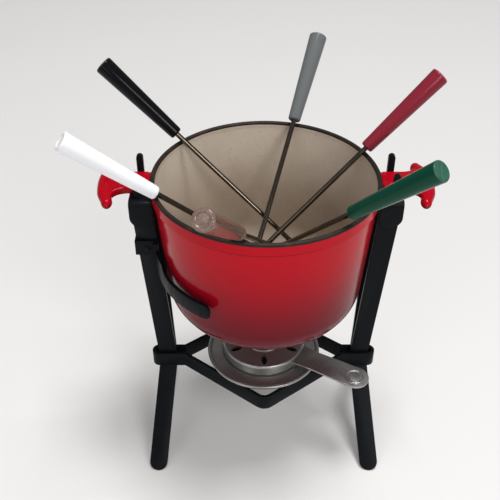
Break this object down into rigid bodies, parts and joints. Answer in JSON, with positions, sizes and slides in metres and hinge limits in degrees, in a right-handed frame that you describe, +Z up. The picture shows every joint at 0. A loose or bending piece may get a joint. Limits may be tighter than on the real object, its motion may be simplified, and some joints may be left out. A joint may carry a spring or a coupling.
{
  "type": "fondue pot set",
  "caption": "Enamelled iron fondue pot with two lugs on a four-legged strip-iron stand, over a spirit burner with a turning regulator, with long two-tined forks in it.",
  "frame": {"origin": "centre of the set's outer box, on the table surface the feet stand on", "axes": "+Z up, -Y towards the front, where the strap and the regulator's lever are, +X to the right, the side the lever points to"},
  "size_m": [0.2898, 0.2906, 0.3434],
  "materials": {
    "red_enamel": "gloss enamel",
    "cream_enamel": "gloss enamel",
    "bare_iron": "oiled bare iron",
    "black_iron": "satin black paint on strip iron",
    "rivet_steel": "satin",
    "burner_steel": "brushed",
    "wool": "fibre",
    "regulator_steel": "brushed, polished edges",
    "fork_steel": "polished",
    "handle_white": "gloss",
    "handle_black": "gloss",
    "handle_grey": "gloss",
    "handle_wine": "gloss",
    "handle_green": "gloss",
    "handle_clear": "clear moulded plastic"
  },
  "bodies": {
    "stand": {"leg_front_left": "black_iron", "leg_front_right": "black_iron", "leg_rear_left": "black_iron", "leg_rear_right": "black_iron", "seat_left": "black_iron", "seat_right": "black_iron", "shelf_band": "black_iron", "leg_clip": "black_iron", "clip_rivet": "rivet_steel", "guard_strap": "black_iron"},
    "pot": {"pot_body": "red_enamel", "pot_lining": "cream_enamel", "pot_rim": "bare_iron", "pot_base_ring": "bare_iron", "lug_left": "red_enamel", "lug_right": "red_enamel"},
    "burner": {"burner_pan": "burner_steel", "burner_drum": "burner_steel", "burner_wool": "wool"},
    "regulator": {"regulator_lid": "regulator_steel", "regulator_lever": "regulator_steel", "lever_rivets": "regulator_steel"},
    "fork_white": {"fork_white_steel": "fork_steel", "fork_white_handle": "handle_white"},
    "fork_black": {"fork_black_steel": "fork_steel", "fork_black_handle": "handle_black"},
    "fork_grey": {"fork_grey_steel": "fork_steel", "fork_grey_handle": "handle_grey"},
    "fork_wine": {"fork_wine_steel": "fork_steel", "fork_wine_handle": "handle_wine"},
    "fork_green": {"fork_green_steel": "fork_steel", "fork_green_handle": "handle_green"},
    "fork_clear": {"fork_clear_steel": "fork_steel", "fork_clear_handle": "handle_clear"}
  },
  "joints": [
    {"name": "pot_lift", "type": "slide", "parent": "stand", "child": "pot", "axis": [0, 0, 1], "range_m": [0, 0.16]},
    {"name": "burner_lift", "type": "slide", "parent": "stand", "child": "burner", "axis": [0, 0, 1], "range_m": [0, 0.042]},
    {"name": "regulator_turn", "type": "hinge", "parent": "burner", "child": "regulator", "pos_m": [0.00211, 0.00166, 0.0985], "axis": [0, 0, 1], "range_deg": [-30, 0]},
    {"name": "fork_white_lift", "type": "slide", "parent": "pot", "child": "fork_white", "axis": [-0.7523, -0.1626, 0.6384], "range_m": [0, 0.05]},
    {"name": "fork_black_lift", "type": "slide", "parent": "pot", "child": "fork_black", "axis": [-0.722, 0.2593, 0.6415], "range_m": [0, 0.05]},
    {"name": "fork_grey_lift", "type": "slide", "parent": "pot", "child": "fork_grey", "axis": [0.2748, 0.7226, 0.6343], "range_m": [0, 0.05]},
    {"name": "fork_wine_lift", "type": "slide", "parent": "pot", "child": "fork_wine", "axis": [0.7058, 0.2807, 0.6504], "range_m": [0, 0.05]},
    {"name": "fork_green_lift", "type": "slide", "parent": "pot", "child": "fork_green", "axis": [0.5998, -0.416, 0.6835], "range_m": [0, 0.05]},
    {"name": "fork_clear_lift", "type": "slide", "parent": "pot", "child": "fork_clear", "axis": [-0.2511, -0.7185, 0.6486], "range_m": [0, 0.05]}
  ]
}
